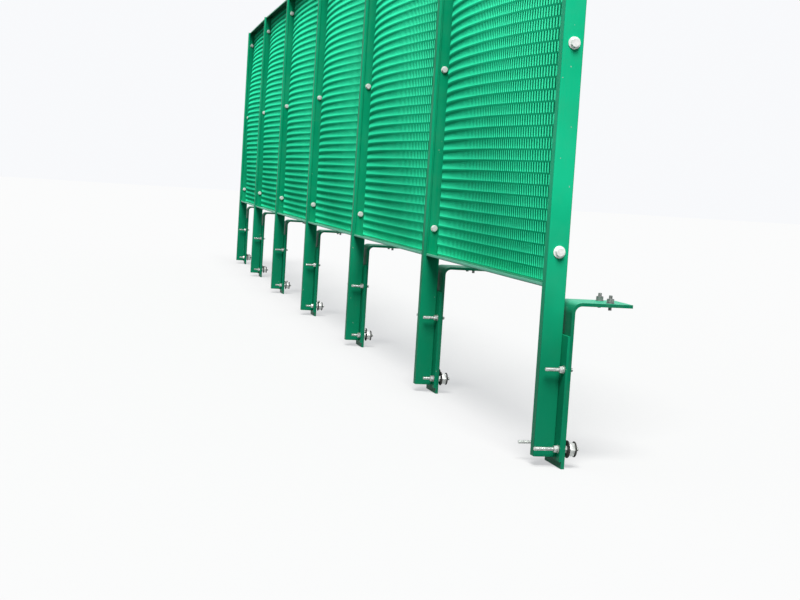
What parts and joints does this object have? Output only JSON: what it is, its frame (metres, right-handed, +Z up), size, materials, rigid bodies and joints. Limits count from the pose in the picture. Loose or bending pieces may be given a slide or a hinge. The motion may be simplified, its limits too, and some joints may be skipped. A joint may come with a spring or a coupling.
{
  "type": "highway mesh fence",
  "caption": "Green steel mesh fence run on a gentle curve: channel posts on bent wall brackets, folded frames and expanded-metal panels that bulge outward.",
  "frame": {"origin": "centre of the four wall bolt holes on the wall face of the middle bracket's leg", "axes": "+X along the fence towards its end post, +Y from the valley side towards the road side, +Z up"},
  "size_m": [12.1994, 0.4705, 2.74],
  "materials": {
    "bracket_paint": "semi-gloss green paint, dusty",
    "post_paint": "semi-gloss green powder coat",
    "frame_paint": "semi-gloss green powder coat",
    "mesh_coating": "glossy green dipped coating",
    "zinc_steel": "bright zinc plate, weathered"
  },
  "bodies": {
    "root": {"wall_bracket_1": "bracket_paint", "wall_bracket_2": "bracket_paint", "wall_bracket_3": "bracket_paint", "wall_bracket_4": "bracket_paint", "wall_bracket_5": "bracket_paint", "wall_bracket_6": "bracket_paint", "wall_bracket_7": "bracket_paint", "post_1": "post_paint", "post_2": "post_paint", "post_3": "post_paint", "post_4": "post_paint", "post_5": "post_paint", "post_6": "post_paint", "post_7": "post_paint", "panel_1_bottom_rail": "frame_paint", "panel_1_top_rail": "frame_paint", "panel_1_near_stile": "frame_paint", "panel_1_far_stile": "frame_paint", "panel_2_bottom_rail": "frame_paint", "panel_2_top_rail": "frame_paint", "panel_2_near_stile": "frame_paint", "panel_2_far_stile": "frame_paint", "panel_3_bottom_rail": "frame_paint", "panel_3_top_rail": "frame_paint", "panel_3_near_stile": "frame_paint", "panel_3_far_stile": "frame_paint", "panel_4_bottom_rail": "frame_paint", "panel_4_top_rail": "frame_paint", "panel_4_near_stile": "frame_paint", "panel_4_far_stile": "frame_paint", "panel_5_bottom_rail": "frame_paint", "panel_5_top_rail": "frame_paint", "panel_5_near_stile": "frame_paint", "panel_5_far_stile": "frame_paint", "panel_6_bottom_rail": "frame_paint", "panel_6_top_rail": "frame_paint", "panel_6_near_stile": "frame_paint", "panel_6_far_stile": "frame_paint", "mesh_sheet_1": "mesh_coating", "mesh_sheet_2": "mesh_coating", "mesh_sheet_3": "mesh_coating", "mesh_sheet_4": "mesh_coating", "mesh_sheet_5": "mesh_coating", "mesh_sheet_6": "mesh_coating"}
  },
  "joints": []
}
